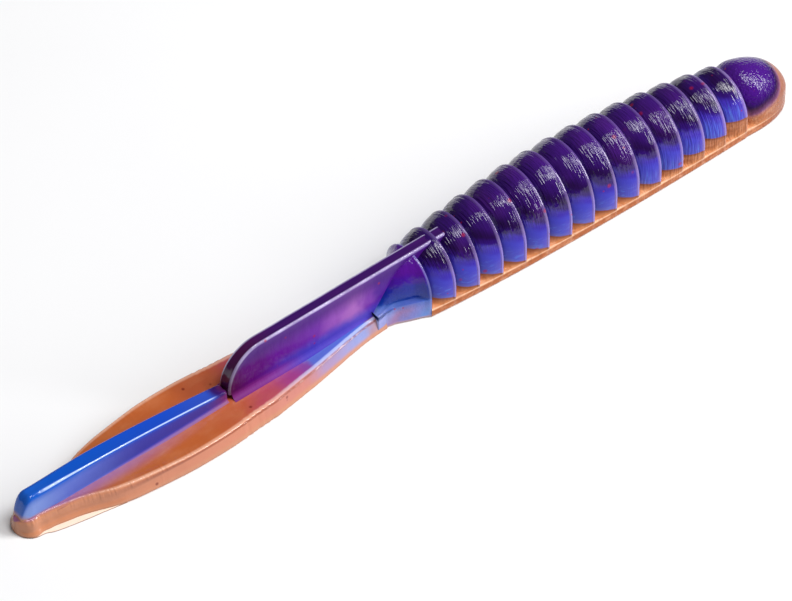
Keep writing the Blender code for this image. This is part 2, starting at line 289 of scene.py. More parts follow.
def section_normals(section):
    """Unit normals in the plane of a section, one for each point."""
    ahead = np.vstack([section[1:], section[-1:] + (section[-1:] - section[-2:-1])])
    behind = np.vstack([section[:1] - (section[1:2] - section[:1]), section[:-1]])
    along = ahead - behind
    along /= np.maximum(np.linalg.norm(along, axis=1, keepdims=True), 1e-9)
    return np.column_stack([-along[:, 1], along[:, 0]])


def sweep(rows):
    """Rows are (x, section, depth, phase); the depth pushes a section in above the strip."""
    points = []
    for x, section, depth, _ in rows:
        normal = section_normals(section)
        share = SIDE_GROOVE_SHARE + (1.0 - SIDE_GROOVE_SHARE) * normal[:, 1] ** 2
        above = smooth(STRIP_Z - SHELF_EASE, STRIP_Z + SHELF_RISE, section[:, 1])
        moved = section + normal * (-depth * share * above)[:, None]
        points.append(np.column_stack([np.full(len(moved), x), moved]))
    points = np.array(points)
    phase = np.repeat(np.array([row[3] for row in rows])[:, None], points.shape[1], axis=1)
    return points, phase


def back_and_belly(name, points, phase, back_material, belly_material, **caps):
    """Cuts a swept stretch on the colour seam into a back skin and a belly skin."""
    count = points.shape[1]
    near = list(range(SEAM_INDEX + 1))
    far = list(range(count - SEAM_INDEX - 1, count))
    back_columns = list(range(SEAM_INDEX, count - SEAM_INDEX))
    pieces = []
    for part, columns, material in (
        ("back", back_columns, back_material),
        ("belly", far + near[1:], belly_material),
    ):
        shades = {"phase": phase[:, columns]}
        piece = grid_object(f"{name}_{part}_skin", points[:, columns], shades, **caps)
        dress(piece, material, f"{part}_plastic", f"{name}_{part}")
        pieces.append(piece)
    return pieces


# (share of the pitch, share of the groove's depth) for the drop behind a lip and for the next lip.
RING_DROP = [(0.0, 0.0), (0.006, 0.12), (0.012, 0.35), (0.02, 0.65), (0.04, 0.92), (0.075, 1.0)]
RING_LIP = [
    (0.908, -0.030), (0.920, -0.050), (0.932, -0.053), (0.946, -0.048), (0.960, -0.041),
    (0.974, -0.034), (0.988, -0.026), (0.996, -0.010), (1.0, 0.03),
]
SWELL_START = RING_DROP[-1][0]
SWELL_END = 0.90
SWELL_CLIMB = 0.97


def ring_rows(start_x, pitch):
    """One ring from lip to lip: a drop into the groove, then a swell that slows to the lip."""
    steps = 20
    swell = []
    for i in range(1, steps + 1):
        t = i / steps
        share = SWELL_START + (SWELL_END - SWELL_START) * t
        swell.append((share, (1.0 - t * SWELL_CLIMB) ** SWELL_POWER))
    result = []
    for share, depth in RING_DROP + swell + RING_LIP:
        x = start_x + share * pitch
        section = full_section(half_section(full_width(x), full_height(x)))
        result.append((x, section, depth * GROOVE_DEPTH, share))
    return result


def make_rings(back, belly):
    for ring in range(1, RING_COUNT + 1):
        start_x = LIP_X[ring - 1]
        points, phase = sweep(ring_rows(start_x, LIP_X[ring] - start_x))
        for piece in back_and_belly(ring_name(ring), points, phase, back, belly):
            carry(piece, body_of(ring - 1), body_of(ring))


# (distance behind the last lip, share of the groove's depth) for the head's first rows.
HEAD_DROP = [(0.0 * MM, 0.0), (0.03 * MM, 0.4), (0.1 * MM, 0.85)]
HEAD_DROP_END = 0.22 * MM
HEAD_WIDTH_SHARE = 0.98
HEAD_HEIGHT_SHARE = 0.985
HEAD_SWELL = 2.3 * MM
HEAD_SWELL_POWER = 2.2
# Powers of the super-ellipses in plan and in side view, and of the lift of the chin.
HEAD_BLUNT = 2.5
HEAD_SLOPE = 2.05
HEAD_CHIN = 0.28
HEAD_LEAST = 0.02
HEAD_MIDDLE_Z = SEAM_Z - 0.2 * MM


def make_head(back, belly):
    start_x = LIP_X[RING_COUNT]
    length = NOSE_X - start_x
    width = full_width(start_x) * HEAD_WIDTH_SHARE
    height = full_height(start_x) * HEAD_HEIGHT_SHARE
    rows = [(start_x + distance, depth) for distance, depth in HEAD_DROP]
    steps = 44
    for i in range(steps + 1):
        x = start_x + HEAD_DROP_END + (length - HEAD_DROP_END) * sin(0.5 * pi * i / steps)
        left = max(0.0, 1.0 - (x - start_x - HEAD_DROP_END) / HEAD_SWELL)
        rows.append((x, left**HEAD_SWELL_POWER))
    result = []
    for x, depth in rows:
        t = min(1.0, (x - start_x) / length)
        wide = max(HEAD_LEAST, (1.0 - t**HEAD_BLUNT) ** (1.0 / HEAD_BLUNT))
        tall = max(HEAD_LEAST, (1.0 - t**HEAD_SLOPE) ** (1.0 / HEAD_SLOPE))
        squeezed = []
        for y, z in half_section(max(width * wide, CORNER * 1.05), height):
            share = tall if z > HEAD_MIDDLE_Z else wide**HEAD_CHIN
            squeezed.append((y, HEAD_MIDDLE_Z + (z - HEAD_MIDDLE_Z) * share))
        result.append((x, full_section(squeezed), depth * GROOVE_DEPTH * wide, 0.5))
    points, phase = sweep(result)
    for piece in back_and_belly("head", points, phase, back, belly, cap_end=True):
        carry(piece, body_of(RING_COUNT), "head")


# (x, half width) of the collar's wall in mm.
COLLAR_WAIST = [(-4.8, 2.1), (-3.6, 2.0), (-2.4, 2.25), (-1.0, 2.85), (0.2, 3.3), (1.1, 3.72)]
LEDGE_LOW_Z = 2.05
LEDGE_CLIMB = 0.80
LEDGE_WIDTH = 0.55
COLLAR_FLARE = 0.12


def make_collar(back, belly):
    lip_x = LIP_X[0]
    lip_height = full_height(lip_x)
    steps = 30
    rows = []
    for i in range(steps + 1):
        t = i / steps
        x = COLLAR_X + (lip_x - COLLAR_X) * t
        w = np.interp(x / MM, *np.array(COLLAR_WAIST).T) * MM
        ledge_z = (LEDGE_LOW_Z + LEDGE_CLIMB * smooth(0.0, 0.55, t)) * MM
        rise = sin(0.5 * pi * min(1.0, t * 1.04)) ** 1.15
        crown = ledge_z + (0.15 + 0.35 * t) * MM
        h = crown + (lip_height - crown) * rise
        ledge = LEDGE_WIDTH * (1.0 - smooth(0.75, 1.0, t)) * MM
        flare = COLLAR_FLARE * smooth(0.9, 0.965, t) * (1.0 - 0.6 * smooth(0.975, 1.0, t)) * MM
        section = full_section(half_section(w, h, ledge, ledge_z))
        rows.append((x, section, -flare, t))
    points, phase = sweep(rows)
    for piece in back_and_belly("collar", points, phase, back, belly, cap_start=True):
        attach(piece, "waist")


# ---------------------------------------------------------------- tail: blade, fin, rib

def tail_body(index):
    return "waist" if index < 1 else f"tail_{index}"


TAIL_SEAMS = [(a + b) / 2 for a, b in zip(TAIL_CUTS, TAIL_CUTS[1:])]
STIFF_CUT = 5
TUCK_HEIGHT_SHARE = 0.88
TUCK_LENGTH = 0.5 * MM
# The skin runs on for a hair before it steps in to the tuck, so the step doesn't tilt its shading.
TUCK_RUN_ON = 0.002 * MM
TUCK_STEP = 0.003 * MM


def tail_stretches(head_x, tip_x):
    """(cut index, whether it crosses that cut, from x, to x) of each stretch, head to tip."""
    places = TAIL_SEAMS + [TAIL_CUTS[STIFF_CUT]]
    inner = sorted((x for x in places if tip_x < x < head_x), reverse=True)
    limits = [head_x] + inner + [tip_x]
    for high, low in zip(limits, limits[1:]):
        middle = (high + low) / 2
        inside = [i for i, x in enumerate(TAIL_CUTS) if low < x < high]
        near = min(range(TAIL_COUNT), key=lambda i: abs(TAIL_CUTS[i] - middle))
        yield (inside[0] if inside else near), bool(inside), high, low


def stretch_name(index, crosses, high):
    if crosses:
        return f"{index}_cross"
    return f"{index}_root" if high > TAIL_CUTS[index] else f"{index}_end"


def carry_tail(piece, index, crosses, high, low):
    cut = TAIL_CUTS[index]
    if crosses:
        carry(piece, tail_body(index), tail_body(index + 1))
    else:
        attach(piece, tail_body(index + 1) if (high + low) / 2 < cut else tail_body(index))


def tucked(rows, shades, low, share):
    """Adds a smaller end behind the stiff cut, hidden in the next skin; share is its width."""
    rows, shades = [np.array(row) for row in rows], list(shades)
    if low == TAIL_CUTS[STIFF_CUT]:
        middle = (rows[-1].min(axis=0) + rows[-1].max(axis=0)) / 2
        inner = middle + (rows[-1] - middle) * (1.0, share, TUCK_HEIGHT_SHARE)
        steps = [(rows[-1], TUCK_RUN_ON), (inner, TUCK_STEP), (inner, TUCK_LENGTH)]
        rows += [row - (back, 0.0, 0.0) for row, back in steps]
        shades += [shades[-1]] * len(steps)
    return np.array(rows), shades


def replaced(name, index, low):
    """The CAD node that a tail skin replaces; at the stiff cut the second skin names it."""
    return [] if low == TAIL_CUTS[STIFF_CUT] else [f"{name}_{index + 1}"]


def spaced(high, low, step):
    """Even places from high down to low, at most a step apart."""
    count = max(2, ceil((high - low) / step))
    return [high + (low - high) * i / count for i in range(count + 1)]


def blade_section(x, w):
    """(y, z, rim) from the belly's middle round the near rim to the top's middle."""
    shrink = min(1.0, w / (1.3 * MM))
    tip = smooth(-30.0, -44.0, x / MM)
    inset = (0.55 + 0.3 * smooth(-34.0, -14.0, x / MM) + 0.35 * tip) * MM * shrink
    lean = 0.4 * inset
    corner = (0.45 + 1.05 * tip) * MM * shrink
    foot = 0.22 * MM * shrink
    top = BLADE_TOP - 0.35 * MM * (1.0 - shrink)
    points = [(-(w - foot) * t, 0.0, 0.0) for t in (0.0, 0.4, 0.8, 1.0)]
    for i in range(1, 4):
        angle = 0.5 * pi * i / 3
        points.append((-(w - foot) - foot * sin(angle), foot - foot * cos(angle), 0.15))
    for t in (0.25, 0.5, 0.75):
        points.append((-(w - lean * t), foot + (top - corner - foot) * t, 0.15 + 0.5 * t))
    for i in range(9):
        angle = 0.5 * pi * i / 8
        y = w - inset + (inset - lean) * cos(angle)
        points.append((-y, top - corner + corner * sin(angle), 0.65 + 0.35 * i / 8))
    for t in (0.12, 0.28, 0.46, 0.64, 0.82, 1.0):
        dish = 0.16 * MM * smooth(0.0, 0.5, t) * (1.0 - tip)
        points.append((-(w - inset) * (1 - t), top - dish, 1.0 + t))
    return points


BLADE_UNDER_COLLAR = 1.2 * MM
BLADE_TUCK_SHARE = 0.95
TAIL_STEP = 0.3 * MM
TIP_STEPS = 14
LEAST_SIZE = 0.05 * MM


def rounded(x, radius, steps):
    """Places that close in on x from a radius before it, for a round end."""
    return [x + radius * (1 - sin(0.5 * pi * i / steps)) for i in range(1, steps + 1)]


def make_blade(material):
    for index, crosses, high, low in tail_stretches(COLLAR_X + BLADE_UNDER_COLLAR, TAIL_TIP_X):
        if low == TAIL_TIP_X:
            xs = spaced(high, low + TIP_ROUND, TAIL_STEP) + rounded(low, TIP_ROUND, TIP_STEPS)
        else:
            xs = spaced(high, low, TAIL_STEP)
        rows, rims = [], []
        for x in xs:
            half = blade_section(x, max(leaf_width(x) - film_width(x), LEAST_SIZE))
            section = half + [(-y, z, rim) for y, z, rim in reversed(half[:-1])]
            rows.append([(x, y, z) for y, z, _ in section])
            rims.append([rim for _, _, rim in section])
        rows, rims = tucked(rows, rims, low, BLADE_TUCK_SHARE)
        piece = grid_object(f"blade_{stretch_name(index, crosses, high)}_skin", rows,
                            {"rim": rims}, cap_end=low == TAIL_TIP_X)
        dress(piece, material, "blade_plastic", *replaced("tail_blade", index, low))
        carry_tail(piece, index, crosses, high, low)


FILM_INSET = 0.02 * MM
FILM_OVERLAP = 0.12 * MM
FILM_BEVEL = 0.07 * MM
# The "rim" of each point of the film's section: dark from the outer edge on.
FILM_RIM = [0, 0, 0.2, 1, 1, 1]


def film_section(inner, outer):
    """(y, z) over the top from the blade to the outer edge, and back underneath."""
    heights = [z * MM for z in (0.10, 0.09, 0.08, 0.06, 0.02, 0.02)]
    return zip((inner, (inner + outer) / 2, outer - FILM_BEVEL, outer, outer, inner), heights)


def make_film(material):
    """The thin flash at both sides of the blade's tip, just above the floor."""
    for index, crosses, high, low in tail_stretches(FILM_HIGH_X, FILM_LOW_X):
        xs = spaced(high, low, TAIL_STEP)
        for side, name in ((-1, "near"), (1, "far")):
            rows = []
            for x in xs:
                outer = leaf_width(x) - FILM_INSET
                inner = outer - film_width(x) - FILM_OVERLAP
                rows.append([(x, side * y, z) for y, z in film_section(inner, outer)])
            piece = grid_object(f"flash_{name}_{stretch_name(index, crosses, high)}",
                                np.array(rows), {"rim": [FILM_RIM] * len(rows)})
            if side > 0:
                piece.data.flip_normals()
            piece.data.materials.append(material)
            carry_tail(piece, index, crosses, high, low)


FIN_EDGE = 0.34 * MM
FIN_FALL = 4.4 * MM
FIN_SKIN_END_X = FIN_END_X - 0.5 * MM
FIN_END_RISE = 0.5 * MM
FIN_FOOT = 0.6 * MM
FIN_SINK = 0.15 * MM
FIN_DRAFT = 0.25 * MM
FIN_TOP_DISH = 0.05 * MM


def fin_path(high, low):
    """(x, z, normal x, normal z) along the fin's top edge; it falls in a round end."""
    if low > FIN_SKIN_END_X:
        xs = spaced(high, low, TAIL_STEP)
    else:
        steps = 24
        xs = [high + (low - high) * sin(0.5 * pi * i / steps) for i in range(steps + 1)]
    foot_z = BLADE_TOP + FIN_END_RISE
    fall_z = FIN_TOP - foot_z
    path = []
    for x in xs:
        s = np.clip((FIN_SKIN_END_X + FIN_FALL - x) / FIN_FALL, 0.0, 1.0)
        c = sqrt(1.0 - s * s)
        nx, nz = -s / FIN_FALL, c / fall_z
        size = sqrt(nx * nx + nz * nz)
        path.append((x, foot_z + fall_z * c, nx / size, nz / size))
    return path


def fin_section(x, z, nx, nz):
    """(x, y, z, edge) from the near foot over the top to the far foot."""
    half = []
    base = BLADE_TOP - FIN_SINK
    edge_x, edge_z = x - FIN_EDGE * nx, z - FIN_EDGE * nz
    for t in (0.0, 0.2, 0.4, 0.6, 0.8):
        y = FIN_HALF + FIN_DRAFT + FIN_FOOT * (1.0 - t) ** 2
        half.append((edge_x, -y, min(base + FIN_FOOT * t**1.6, edge_z), 0.1 * t))
    low_z = min(base + FIN_FOOT, edge_z)
    for t in (0.0, 0.2, 0.4, 0.6, 0.8, 1.0):
        side_z = low_z + (edge_z - low_z) * t
        y = FIN_HALF + FIN_DRAFT * (FIN_TOP - side_z) / (FIN_TOP - base)
        half.append((edge_x, -y, side_z, 0.15 + 0.35 * t))
    wide = -half[-1][1]
    for i in range(1, 6):
        a = 0.5 * pi * i / 5
        y = wide - FIN_EDGE + FIN_EDGE * cos(a)
        out = FIN_EDGE * sin(a)
        half.append((edge_x + out * nx, -y, edge_z + out * nz, 0.5 + 0.25 * i / 5))
    for t in (0.35, 0.7, 1.0):
        dip = FIN_TOP_DISH * sin(0.5 * pi * t)
        y = (wide - FIN_EDGE) * (1.0 - t)
        half.append((x - dip * nx, -y, z - dip * nz, 0.75 + 0.25 * t))
    return half + [(px, -py, pz, e) for px, py, pz, e in reversed(half[:-1])]


def make_fin(material):
    for index, crosses, high, low in tail_stretches(FIN_FRONT_X, FIN_SKIN_END_X):
        sections = [fin_section(*step) for step in fin_path(high, low)]
        grid = np.array(sections)
        nodes = ["fin_front", "tail_fin_1"] if index == 0 else []
        if index in (1, 2):
            nodes = [f"tail_fin_{index + 1}"]
        piece = grid_object(f"fin_{stretch_name(index, crosses, high)}_skin", grid[:, :, :3],
                            {"edge": grid[:, :, 3]}, cap_start=index == 0)
        dress(piece, material, "fin_plastic", *nodes)
        carry_tail(piece, index, crosses, high, low)


RIB_START_X = -23.9 * MM
FOOT_SPREAD = 0.7 * MM
RIB_ROUND = 1.5 * MM
RIB_STEP = 0.25 * MM
RIB_TIP_STEPS = 12
RIB_CLIMB_LENGTH = 22.0 * MM
RIB_TUCK_SHARE = 0.5


def rib_size(x):
    """(top, half width, closing share) of the rib: a low tab, then a ridge that grows."""
    t = np.clip((RIB_START_X - x) / RIB_CLIMB_LENGTH, 0.0, 1.0)
    grown = sin(0.5 * pi * t)
    top = RIB_LOW_TOP + (RIB_HIGH_TOP - RIB_LOW_TOP) * grown
    half = (0.78 + 0.28 * grown) * MM
    end = min(1.0, (x - RIB_END_X) / RIB_ROUND)
    close = sqrt(max(0.0, 1.0 - (1.0 - end) ** 2))
    return top, half * (0.55 + 0.45 * close), close


def rib_section(x):
    """(y, z, round) from the near foot over the top to the far foot."""
    top, half, close = rib_size(x)
    near_tip = smooth(-45.5, -49.0, x / MM)
    base = BLADE_TOP - (0.2 + 0.7 * near_tip) * MM
    tall = max((top - base) * close, LEAST_SIZE)
    top = base + tall
    foot_z = base + min(0.35 * MM, 0.3 * tall)
    soft = smooth(-40.0, -48.0, x / MM)
    corner = min((0.30 + 0.30 * soft) * MM, 0.5 * (top - foot_z), 0.55 * half)
    flat = (0.60 - 0.28 * soft) * half
    section = []
    for i in range(4):
        t = i / 4
        spread = FOOT_SPREAD * (1 - t) ** 2.2 * (1.0 - near_tip)
        section.append((-(half + spread), base + (foot_z - base) * t**1.5, t - 1.0))
    for t in (0.0, 0.2, 0.4, 0.6, 0.8):
        y = half + (flat + corner - half) * t
        section.append((-y, foot_z + (top - corner - foot_z) * t, 0.5 * t))
    for i in range(7):
        a = 0.5 * pi * i / 6
        section.append((-(flat + corner * cos(a)), top - corner + corner * sin(a),
                        0.5 + 0.3 * i / 6))
    for t in (0.35, 0.7, 1.0):
        section.append((-flat * (1 - t), top - 0.03 * MM * sin(0.5 * pi * t), 0.8 + 0.2 * t))
    return section + [(-y, z, r) for y, z, r in reversed(section[:-1])]


def make_rib(material):
    for index, crosses, high, low in tail_stretches(RIB_START_X, RIB_END_X):
        step = RIB_STEP
        xs = spaced(high, max(low, RIB_END_X + RIB_ROUND), step)
        if low == RIB_END_X:
            xs += rounded(low, RIB_ROUND, RIB_TIP_STEPS)
        sections = np.array([rib_section(x) for x in xs])
        rows = [np.column_stack([np.full(len(part), x), part[:, :2]])
                for x, part in zip(xs, sections)]
        rows, rounds = tucked(rows, sections[:, :, 2], low, RIB_TUCK_SHARE)
        piece = grid_object(f"rib_{stretch_name(index, crosses, high)}_skin", rows,
                            {"round": rounds}, cap_start=high == RIB_START_X,
                            cap_end=low == RIB_END_X)
        dress(piece, material, "rib_plastic", *replaced("tail_rib", index, low))
        carry_tail(piece, index, crosses, high, low)


# ---------------------------------------------------------------- material graphs

# A mix node's colour sockets, which share their names with its other sockets.
MIX_A, MIX_B, MIX_RESULT = 6, 7, 2


class Graph:
    """Short calls that add shader nodes and join them."""

    def __init__(self, name):
        self.material = bpy.data.materials.new(name)
        self.material.use_nodes = True
        self.tree = self.material.node_tree
        self.shader = self.tree.nodes["Principled BSDF"]

    def join(self, value, socket):
        if isinstance(value, bpy.types.NodeSocket):
            self.tree.links.new(value, socket)
        elif isinstance(value, tuple) and socket.type == "RGBA":
            socket.default_value = (*value, 1.0)
        else:
            socket.default_value = value

    def attribute(self, name, output="Fac"):
        node = self.tree.nodes.new("ShaderNodeAttribute")
        node.attribute_name = name
        return node.outputs[output]

    def rest(self):
        """The unbent place in mm, and its three axes."""
        place = self.attribute("rest", "Vector")
        node = self.tree.nodes.new("ShaderNodeSeparateXYZ")
        self.join(place, node.inputs[0])
        return place, node.outputs[0], node.outputs[1], node.outputs[2]

    def math(self, operation, a, b=0.0):
        node = self.tree.nodes.new("ShaderNodeMath")
        node.operation = operation
        self.join(a, node.inputs[0])
        self.join(b, node.inputs[1])
        return node.outputs[0]

    def add(self, *values):
        total = values[0]
        for value in values[1:]:
            total = self.math("ADD", total, value)
        return total

    def times(self, *values):
        total = values[0]
        for value in values[1:]:
            total = self.math("MULTIPLY", total, value)
        return total

    def band(self, value, low, high, kind="SMOOTHSTEP"):
        """0 at low, 1 at high, smooth between; low may be above high."""
        node = self.tree.nodes.new("ShaderNodeMapRange")
        node.interpolation_type = kind
        self.join(value, node.inputs["Value"])
        flip = low > high
        node.inputs["From Min"].default_value = min(low, high)
        node.inputs["From Max"].default_value = max(low, high)
        node.inputs["To Min"].default_value = 1.0 if flip else 0.0
        node.inputs["To Max"].default_value = 0.0 if flip else 1.0
        return node.outputs["Result"]

    def mix(self, share, a, b):
        node = self.tree.nodes.new("ShaderNodeMix")
        node.data_type = "RGBA"
        self.join(share, node.inputs["Factor"])
        self.join(a, node.inputs[MIX_A])
        self.join(b, node.inputs[MIX_B])
        return node.outputs[MIX_RESULT]

    def ramp(self, value, stops, low=0.0, high=1.0):
        """A colour ramp over value; its stops are (value, colour) between low and high."""
        node = self.tree.nodes.new("ShaderNodeValToRGB")
        line = node.color_ramp
        line.interpolation = "EASE"
        places = [((place - low) / (high - low), colour) for place, colour in stops]
        for element, (place, colour) in zip(line.elements, (places[0], places[-1])):
            element.position = place
            element.color = (*colour, 1.0)
        for place, colour in places[1:-1]:
            line.elements.new(place).color = (*colour, 1.0)
        scaled = self.math("DIVIDE", self.math("SUBTRACT", value, low), high - low)
        self.join(scaled, node.inputs["Fac"])
        return node.outputs["Color"]

    def stretch(self, vector, scale):
        node = self.tree.nodes.new("ShaderNodeMapping")
        node.inputs["Scale"].default_value = scale
        self.join(vector, node.inputs["Vector"])
        return node.outputs["Vector"]

    def noise(self, vector, scale, detail=2.0, roughness=0.5):
        node = self.tree.nodes.new("ShaderNodeTexNoise")
        node.inputs["Scale"].default_value = scale
        node.inputs["Detail"].default_value = detail
        node.inputs["Roughness"].default_value = roughness
        self.join(vector, node.inputs["Vector"])
        return node.outputs["Fac"]

    def swing(self, vector, scale, reach, detail=2.0):
        """Noise as an offset of about plus and minus half of reach."""
        centred = self.math("SUBTRACT", self.noise(vector, scale, detail), 0.5)
        return self.times(centred, reach)

    def spots(self, vector, scale, size, share):
        """Soft round spots in some cells of a Voronoi net."""
        node = self.tree.nodes.new("ShaderNodeTexVoronoi")
        node.inputs["Scale"].default_value = scale
        self.join(vector, node.inputs["Vector"])
        split = self.tree.nodes.new("ShaderNodeSeparateColor")
        self.join(node.outputs["Color"], split.inputs[0])
        chosen = self.band(split.outputs[0], share, share - 0.02)
        return self.times(self.band(node.outputs["Distance"], size, size * 0.3), chosen)

    def bump(self, height, distance):
        node = self.tree.nodes.new("ShaderNodeBump")
        node.inputs["Strength"].default_value = 1.0
        node.inputs["Distance"].default_value = distance
        self.join(height, node.inputs["Height"])
        self.tree.links.new(node.outputs["Normal"], self.shader.inputs["Normal"])

    def finish(self, colour, roughness, gloss=0.42, sheen=0.0, sheen_tint=(1.0, 1.0, 1.0)):
        self.join(colour, self.shader.inputs["Base Color"])
        self.join(roughness, self.shader.inputs["Roughness"])
        self.shader.inputs["IOR"].default_value = 1.47
        self.join(gloss, self.shader.inputs["Specular IOR Level"])
        self.shader.inputs["Sheen Weight"].default_value = sheen
        self.shader.inputs["Sheen Roughness"].default_value = 0.3
        self.shader.inputs["Sheen Tint"].default_value = (*sheen_tint, 1.0)
        return self.material


def cutter_marks(g, place):
    """Fine short strokes round the body, as a cut mould leaves them."""
    fine = g.noise(g.stretch(place, (5.5, 0.45, 0.45)), 1.0, 1.0, 0.6)
    broken = g.noise(g.stretch(place, (1.5, 1.1, 1.1)), 1.0, 1.0)
    patch = g.band(g.noise(g.stretch(place, (0.25, 0.35, 0.35)), 1.0, 0.0), 0.25, 0.5)
    return g.times(g.add(fine, g.times(broken, 0.6)), g.add(0.35, g.times(patch, 0.65)))


PURPLE_STOPS = [
    (0.0, (0.120, 0.120, 0.44)),
    (0.7, (0.075, 0.080, 0.48)),
    (2.5, (0.055, 0.052, 0.46)),
    (3.4, (0.045, 0.024, 0.36)),
    (4.1, (0.022, 0.003, 0.12)),
    (4.8, (0.014, 0.001, 0.050)),
    (6.0, (0.026, 0.003, 0.105)),
    (8.0, (0.050, 0.007, 0.175)),
]
# Orange by height in mm; the pale stops from 1.0 to 1.16 are a painted highlight along the belly
# strip's edge.
ORANGE_AND_EDGE_HIGHLIGHT_STOPS = [
    (0.0, (0.28, 0.09, 0.035)),
    (0.25, (0.44, 0.14, 0.050)),
    (0.85, (0.42, 0.12, 0.040)),
    (1.0, (0.66, 0.33, 0.18)),
    (1.08, (0.85, 0.52, 0.34)),
    (1.16, (0.54, 0.20, 0.08)),
    (1.8, (0.46, 0.16, 0.065)),
    (4.0, (0.44, 0.17, 0.10)),
    (8.0, (0.34, 0.15, 0.11)),
]
RED = (0.36, 0.008, 0.025)


def body_plastic(name):
    """Rings and head: the purple pour on the orange one, with the meeting line in the paint; painted
    shade in the grooves, a painted shadow under the purple and a painted highlight on the strip's
    edge.
    """
    g = Graph(name)
    place, x, _, z = g.rest()
    phase = g.attribute("phase")
    cloud = g.swing(place, 0.5, 1.1)
    climb = g.band(x, 26.0, 46.5, "LINEAR")
    climb = g.times(climb, climb, 2.7)
    start = g.times(climb, g.band(x, 44.4, 43.6), 0.85)
    nose = g.band(x, 46.5, 51.0, "LINEAR")
    climb = g.add(climb, g.times(nose, nose, nose, 6.6), g.times(g.band(x, 43.9, 44.6), -1.2))
    level = g.add(2.35, g.times(phase, -1.0), climb, g.swing(place, 0.35, 0.5))
    over = g.math("SUBTRACT", z, level)
    head = g.band(x, 43.6, 44.6)
    reach = g.add(g.times(over, g.add(1.0, g.times(head, 0.5))), g.times(head, 4.0), start)
    purple = g.ramp(g.add(reach, cloud), PURPLE_STOPS, 0.0, 8.0)
    violet = g.times(head, g.band(reach, 4.4, 7.5), 0.8)
    purple = g.mix(violet, purple, (0.058, 0.006, 0.20))
    wide = g.band(g.noise(g.stretch(place, (0.30, 0.22, 0.22)), 1.0, 1.0), 0.45, 0.7)
    purple = g.mix(g.times(wide, g.band(over, 3.4, 5.0), 0.5), purple, (0.065, 0.010, 0.17))
    marks = g.noise(g.stretch(place, (5.0, 0.35, 0.35)), 1.0, 1.0)
    streaks = g.noise(g.stretch(place, (0.5, 3.0, 3.0)), 1.0, 2.0)
    upright = g.times(g.band(x, 26.0, 31.0), g.band(marks, 0.48, 0.66))
    level_streaks = g.times(g.band(x, 31.0, 26.0), g.band(streaks, 0.5, 0.75))
    low = g.times(g.band(over, 2.6, 0.8), g.add(upright, level_streaks), g.band(head, 0.6, 0.0))
    purple = g.mix(g.times(low, 0.40), purple, (0.11, 0.24, 0.76))
    behind_lip = g.times(g.band(phase, 0.55, 0.97), g.band(over, 3.2, 1.0))
    purple = g.mix(g.times(behind_lip, 0.25), purple, (0.20, 0.10, 0.40))
    # Painted shade: darker purple in the groove just behind each lip.
    deep = g.band(phase, 0.26, 0.06)
    purple = g.mix(g.times(deep, 0.75), purple, (0.014, 0.006, 0.10))
    lip = g.band(phase, 0.85, 0.93)
    purple = g.mix(g.times(lip, g.band(over, 7.0, 3.0), 0.45), purple, (0.36, 0.26, 0.60))
    purple = g.mix(g.times(lip, 0.25), purple, (0.26, 0.17, 0.44))
    flakes = g.math("MAXIMUM", g.spots(place, 0.62, 0.22, 0.25), g.spots(place, 1.3, 0.2, 0.12))
    purple = g.mix(g.times(flakes, 0.6), purple, RED)
    orange = g.ramp(z, ORANGE_AND_EDGE_HIGHLIGHT_STOPS, 0.0, 8.0)
    pale = g.band(g.noise(g.stretch(place, (0.9, 0.7, 1.4)), 1.0, 3.0), 0.45, 0.75)
    orange = g.mix(g.times(pale, 0.45), orange, (0.78, 0.42, 0.25))
    brown = g.band(g.noise(g.stretch(place, (1.6, 1.4, 2.0)), 1.0, 2.0), 0.50, 0.72)
    orange = g.mix(g.times(brown, 0.35), orange, (0.22, 0.06, 0.02))
    grain = g.times(g.band(marks, 0.45, 0.62), g.band(z, 1.15, 1.5), g.band(x, 44.4, 43.8))
    orange = g.mix(g.times(grain, 0.35), orange, (0.34, 0.11, 0.04))
    orange = g.mix(g.times(g.band(x, 44.5, 49.5), 0.8), orange, (0.28, 0.10, 0.065))
    # Painted shadow: a dark orange-brown band just below the colour line, under the purple's overhang
    # at the shelf crease.
    under = g.band(over, -0.55, -0.05)
    orange = g.mix(g.times(under, 0.75), orange, (0.20, 0.050, 0.025))
    colour = g.mix(g.band(over, -0.05, 0.10), orange, purple)
    soft = g.mix(g.band(over, -1.0, 0.9), orange, purple)
    colour = g.mix(head, colour, soft)
    pebbles = g.noise(place, 3.4, 1.0)
    marked = g.math("MAXIMUM", g.band(over, 2.8, 4.2), g.band(x, 26.0, 31.0))
    marked = g.times(marked, g.band(phase, 0.92, 0.88), g.band(x, 44.6, 43.8))
    height = g.add(g.times(cutter_marks(g, place), marked), g.times(pebbles, head, 0.8))
    g.bump(height, 0.14 * MM)
    rough = g.add(0.09, g.times(g.noise(place, 2.2), 0.08))
    wet = g.math("MAXIMUM", g.band(z, 4.6, 6.0), g.band(phase, 0.90, 0.94))
    gloss = g.add(0.08, g.times(wet, 0.40))
    return g.finish(colour, rough, gloss, sheen=0.02, sheen_tint=(0.80, 0.72, 1.0))


